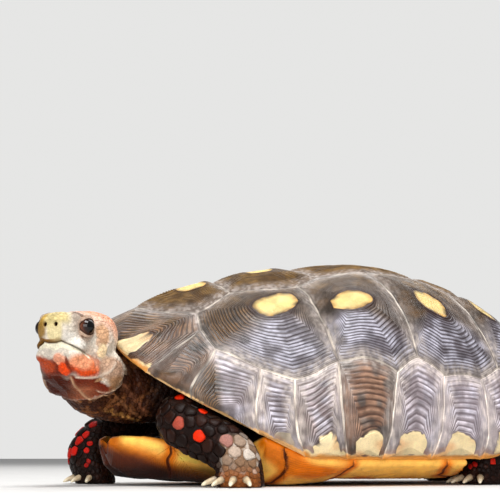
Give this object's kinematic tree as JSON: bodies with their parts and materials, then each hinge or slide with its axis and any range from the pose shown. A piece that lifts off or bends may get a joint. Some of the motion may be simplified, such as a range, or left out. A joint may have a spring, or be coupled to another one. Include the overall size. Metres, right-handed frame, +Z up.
{
  "type": "red-footed tortoise",
  "caption": "Life-size still model of an adult red-footed tortoise in a slow walking step, head raised and turned to its left; stands on its four feet.",
  "frame": {"origin": "on the floor, under the middle of the whole body's outline", "axes": "+Z up; the shell's length lies along X with the head end at -X; the animal's left side faces -Y"},
  "size_m": [0.3568, 0.1958, 0.1398],
  "materials": {
    "carapace": "dark horn with growth ridges, pale worn seams and yellow centres",
    "marginal": "dark ribbed horn with a yellow edge",
    "plastron": "smooth amber horn with dark brown seams",
    "skin": "dark scaly skin with red scales",
    "head": "fine scaly skin, grey and pink with a yellow snout",
    "jaw": "cream and orange-red scaly skin",
    "eye": "wet dark brown"
  },
  "bodies": {
    "root": {"vertebral_1": "carapace", "vertebral_2": "carapace", "vertebral_3": "carapace", "vertebral_4": "carapace", "vertebral_5": "carapace", "costal_left_1": "carapace", "costal_left_2": "carapace", "costal_left_3": "carapace", "costal_left_4": "carapace", "marginal_left_1": "marginal", "marginal_left_2": "marginal", "marginal_left_3": "marginal", "marginal_left_4": "marginal", "marginal_left_5": "marginal", "marginal_left_6": "marginal", "marginal_left_7": "marginal", "marginal_left_8": "marginal", "marginal_left_9": "marginal", "marginal_left_10": "marginal", "marginal_left_11": "marginal", "costal_right_1": "carapace", "costal_right_2": "carapace", "costal_right_3": "carapace", "costal_right_4": "carapace", "marginal_right_1": "marginal", "marginal_right_2": "marginal", "marginal_right_3": "marginal", "marginal_right_4": "marginal", "marginal_right_5": "marginal", "marginal_right_6": "marginal", "marginal_right_7": "marginal", "marginal_right_8": "marginal", "marginal_right_9": "marginal", "marginal_right_10": "marginal", "marginal_right_11": "marginal", "supracaudal": "marginal", "gular_left": "plastron", "humeral_left": "plastron", "pectoral_left": "plastron", "abdominal_left": "plastron", "femoral_left": "plastron", "anal_left": "plastron", "gular_right": "plastron", "humeral_right": "plastron", "pectoral_right": "plastron", "abdominal_right": "plastron", "femoral_right": "plastron", "anal_right": "plastron", "trunk": "skin", "foreleg_left": "skin", "foreleg_right": "skin", "hindleg_left": "skin", "hindleg_right": "skin", "tail": "skin", "neck": "skin", "head": "head", "lower_jaw": "jaw", "eye_left": "eye", "eye_right": "eye"}
  },
  "joints": []
}
